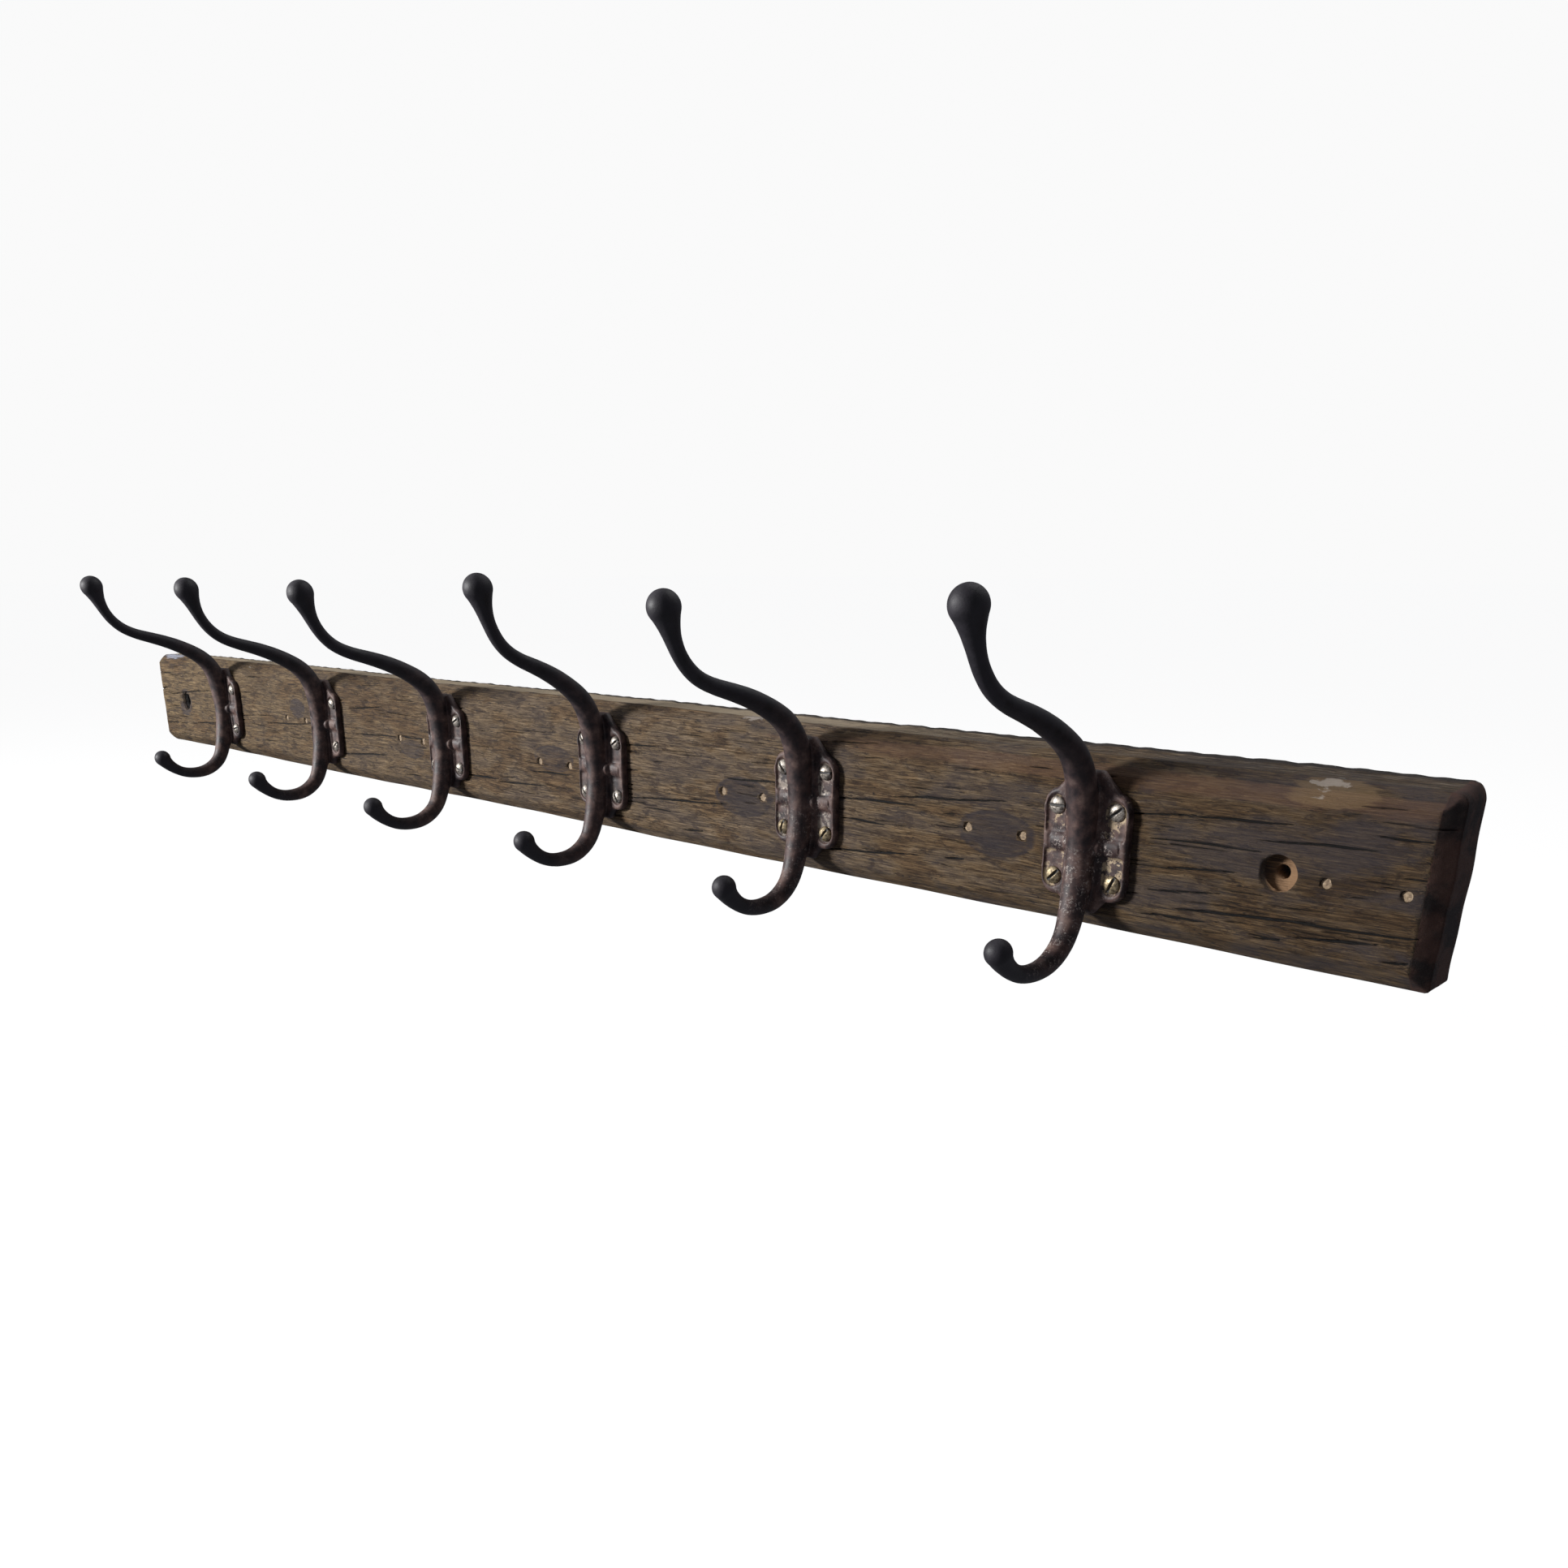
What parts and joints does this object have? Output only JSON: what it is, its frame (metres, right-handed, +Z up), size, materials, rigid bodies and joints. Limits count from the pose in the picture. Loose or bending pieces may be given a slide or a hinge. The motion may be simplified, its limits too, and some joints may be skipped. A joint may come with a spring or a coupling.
{
  "type": "wall hook rack",
  "caption": "Bevelled reclaimed wooden board that screws to a wall, with a row of cast iron double coat hooks, each a long upper arm and a short curled lower arm ending in round knobs.",
  "frame": {"origin": "on the board's flat wall face, midway between the two wall-fixing holes, at half the board's height", "axes": "+X along the board to the right as seen from the front, +Y into the wall, +Z up; the hooks stand out towards -Y"},
  "size_m": [1.0135, 0.119, 0.1503],
  "materials": {
    "reclaimed_oak": "weathered and waxed, with cracks and the dark stains of older hooks",
    "cast_iron": "old black paint worn to brown on the plates and stems",
    "zinc_steel": "dulled bright steel",
    "brass": "worn and polished by use",
    "plug_wood": "pale end grain filler plug"
  },
  "bodies": {
    "root": {"board": "reclaimed_oak", "hook_1": "cast_iron", "hook_2": "cast_iron", "hook_3": "cast_iron", "hook_4": "cast_iron", "hook_5": "cast_iron", "hook_6": "cast_iron", "hook_1_steel_screws": "zinc_steel", "hook_2_steel_screws": "zinc_steel", "hook_3_steel_screws": "zinc_steel", "hook_4_steel_screws": "zinc_steel", "hook_5_steel_screws": "zinc_steel", "hook_5_brass_screws": "brass", "hook_6_steel_screws": "zinc_steel", "hook_6_brass_screws": "brass", "old_hole_plugs_1": "plug_wood", "old_hole_plugs_2": "plug_wood", "old_hole_plugs_3": "plug_wood", "old_hole_plugs_4": "plug_wood", "old_hole_plugs_5": "plug_wood", "old_hole_plugs_6": "plug_wood"}
  },
  "joints": []
}
